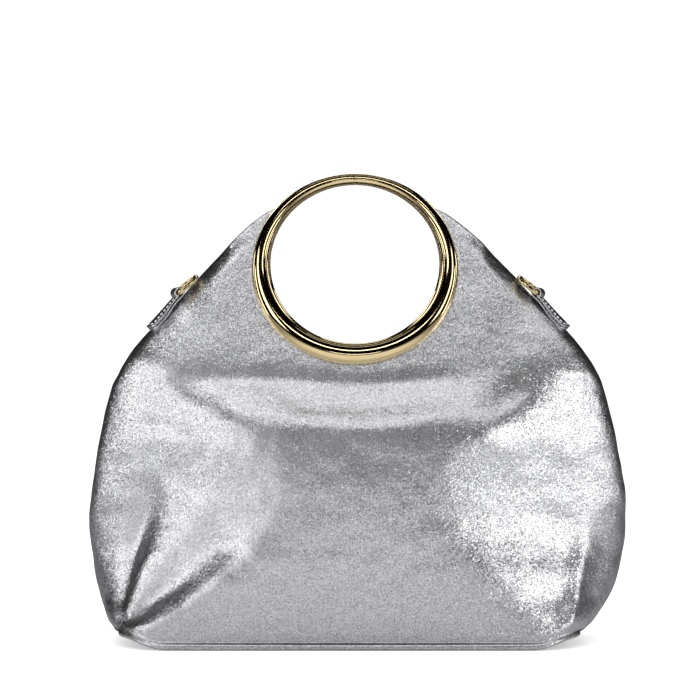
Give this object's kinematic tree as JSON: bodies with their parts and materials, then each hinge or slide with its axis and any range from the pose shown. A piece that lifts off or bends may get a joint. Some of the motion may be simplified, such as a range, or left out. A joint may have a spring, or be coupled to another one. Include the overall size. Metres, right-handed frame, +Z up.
{
  "type": "handbag",
  "caption": "Soft open-topped handbag of silver metallic leather with a rounded belly, flat base, gold ring handles front and back and leather shoulder tabs that carry hinged D-rings.",
  "frame": {"origin": "on the ground under the middle of the bag, at the centre of the bottom of its bounding box", "axes": "+Z up, -Y out of the front that the picture shows, +X to the right as seen from the front"},
  "size_m": [0.3189, 0.1464, 0.2784],
  "materials": {
    "silver_leather": "metallic foil, fine sparkling grain",
    "gold_metal": "polished"
  },
  "bodies": {
    "bag": {"front_panel": "silver_leather", "back_panel": "silver_leather", "base_panel": "silver_leather", "front_ring": "gold_metal", "back_ring": "gold_metal", "left_tab": "silver_leather", "right_tab": "silver_leather"},
    "left_d_ring": {"left_d_ring": "gold_metal"},
    "right_d_ring": {"right_d_ring": "gold_metal"}
  },
  "joints": [
    {"name": "left_d_ring_swing", "type": "hinge", "parent": "bag", "child": "left_d_ring", "pos_m": [-0.10669, -0.02026, 0.20681], "axis": [0.2292, -0.9734, 0.0047], "range_deg": [0, 160]},
    {"name": "right_d_ring_swing", "type": "hinge", "parent": "bag", "child": "right_d_ring", "pos_m": [0.10704, -0.0203, 0.20666], "axis": [0.2249, 0.9744, 0.0013], "range_deg": [0, 160]}
  ]
}
